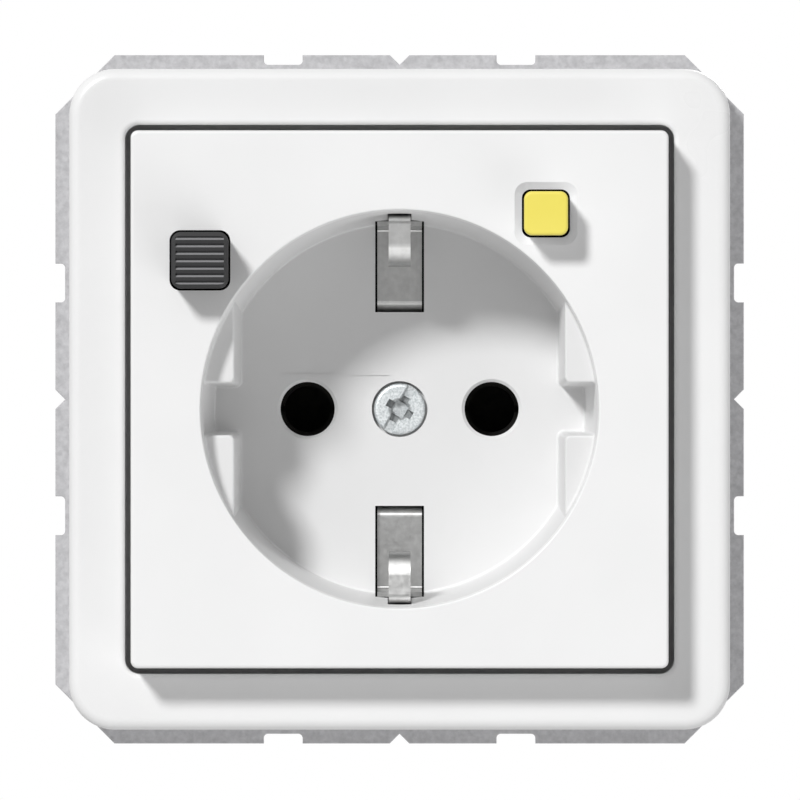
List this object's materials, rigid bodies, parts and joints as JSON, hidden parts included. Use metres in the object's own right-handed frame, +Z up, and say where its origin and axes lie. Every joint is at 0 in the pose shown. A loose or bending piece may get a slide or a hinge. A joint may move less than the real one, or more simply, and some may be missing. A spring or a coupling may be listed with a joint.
{
  "type": "residual current device socket",
  "caption": "Flush wall socket outlet for earthed round-pin plugs with a built-in residual current breaker, a dark reset button and a yellow test button.",
  "frame": {"origin": "middle of the pattern of box screws, on the wall face of the mounting plate", "axes": "+X to the right and +Z up as seen from the room, +Y into the wall"},
  "size_m": [0.071, 0.058, 0.071],
  "materials": {
    "frame_plastic": "polished moulded white plastic",
    "plate_plastic": "polished moulded white plastic",
    "reset_plastic": "dark grey moulded plastic, fine satin",
    "test_plastic": "yellow moulded plastic, satin",
    "galvanised_steel": "stamped zinc-plated steel",
    "screw_steel": "bright zinc-plated steel",
    "strap_metal": "nickel-plated spring bronze strip",
    "contact_brass": "bare brass strip and turned parts",
    "contact_copper": "bare copper bar with silver tips",
    "carrier_plastic": "black heat-resistant moulded plastic",
    "housing_plastic": "grey heat-resistant moulded plastic",
    "carriage_plastic": "red-brown moulded thermoset",
    "spring_steel": "drawn spring steel wire",
    "core_iron": "wound soft magnetic strip in a lacquer coat",
    "winding_copper": "enamelled copper wire",
    "relay_plastic": "blue moulded relay case",
    "board_laminate": "green glass-fibre laminate",
    "component_body": "black moulded components",
    "resistor_ceramic": "tan lacquered ceramic"
  },
  "bodies": {
    "socket_body": {"mounting_plate": "galvanised_steel", "cover_frame": "frame_plastic", "centre_plate": "plate_plastic", "plug_well": "plate_plastic", "cover_screw": "screw_steel", "cover_screw_insert": "contact_brass", "earth_strap": "strap_metal", "strap_rivets": "contact_brass", "contact_carrier": "carrier_plastic", "contact_base": "carrier_plastic", "line_contact_sleeve": "contact_brass", "neutral_contact_sleeve": "contact_brass", "reset_spring": "spring_steel", "test_spring": "spring_steel", "rear_housing": "housing_plastic", "rear_cover": "housing_plastic", "housing_screws": "screw_steel", "opening_springs": "spring_steel", "fixed_contact_line": "contact_copper", "fixed_contact_neutral": "contact_copper", "line_load_bar": "contact_copper", "neutral_load_bar": "contact_copper", "transformer_core": "core_iron", "transformer_winding": "winding_copper", "trip_relay_case": "relay_plastic", "lever_pin": "spring_steel", "circuit_board": "board_laminate", "board_components": "component_body", "test_resistor": "resistor_ceramic", "earth_link": "contact_brass", "line_supply_terminal": "contact_brass", "neutral_supply_terminal": "contact_brass", "line_load_terminal": "contact_brass", "neutral_load_terminal": "contact_brass", "earth_terminal": "contact_brass", "terminal_screws": "screw_steel"},
    "reset_push": {"reset_button": "reset_plastic", "reset_stem_clip": "spring_steel"},
    "test_push": {"test_button": "test_plastic", "test_stem_clip": "spring_steel"},
    "switching_carriage": {"contact_carriage": "carriage_plastic", "moving_contact_line": "contact_copper", "moving_contact_neutral": "contact_copper"},
    "tripping_lever": {"trip_lever": "carriage_plastic"},
    "trip_plunger": {"relay_plunger": "spring_steel"},
    "test_leaf": {"test_contact_leaf": "strap_metal"}
  },
  "joints": [
    {"name": "reset_press", "type": "slide", "parent": "socket_body", "child": "reset_push", "axis": [0, 1, 0], "range_m": [0, 0.0024], "stiffness_N_per_m": 900, "springref_m": -0.0012, "deforming": ["reset_spring"]},
    {"name": "test_press", "type": "slide", "parent": "socket_body", "child": "test_push", "axis": [0, 1, 0], "range_m": [0, 0.0016], "stiffness_N_per_m": 700, "springref_m": -0.0012, "deforming": ["test_spring"]},
    {"name": "carriage_slide", "type": "slide", "parent": "socket_body", "child": "switching_carriage", "axis": [0, 1, 0], "range_m": [0, 0.0024], "stiffness_N_per_m": 600, "springref_m": -0.001, "deforming": ["opening_springs"]},
    {"name": "lever_turn", "type": "hinge", "parent": "socket_body", "child": "tripping_lever", "pos_m": [0.012, 0.0166, 0.0102], "axis": [0, 1, 0], "range_deg": [0, 9.3]},
    {"name": "plunger_slide", "type": "slide", "parent": "socket_body", "child": "trip_plunger", "axis": [0, 0, -1], "range_m": [0, 0.0008]},
    {"name": "leaf_swing", "type": "hinge", "parent": "socket_body", "child": "test_leaf", "pos_m": [0.001, 0.01235, 0.0186], "axis": [0, 0, 1], "range_deg": [0, 6.8], "stiffness_Nm_per_rad": 0.02}
  ],
  "couplings": [
    {"joint": "carriage_slide", "follows": "reset_press", "ratio": 1},
    {"joint": "lever_turn", "follows": "reset_press", "rad_per_m": 66.667},
    {"joint": "plunger_slide", "follows": "reset_press", "ratio": 0.3333},
    {"joint": "leaf_swing", "follows": "test_press", "rad_per_m": 73.529}
  ]
}
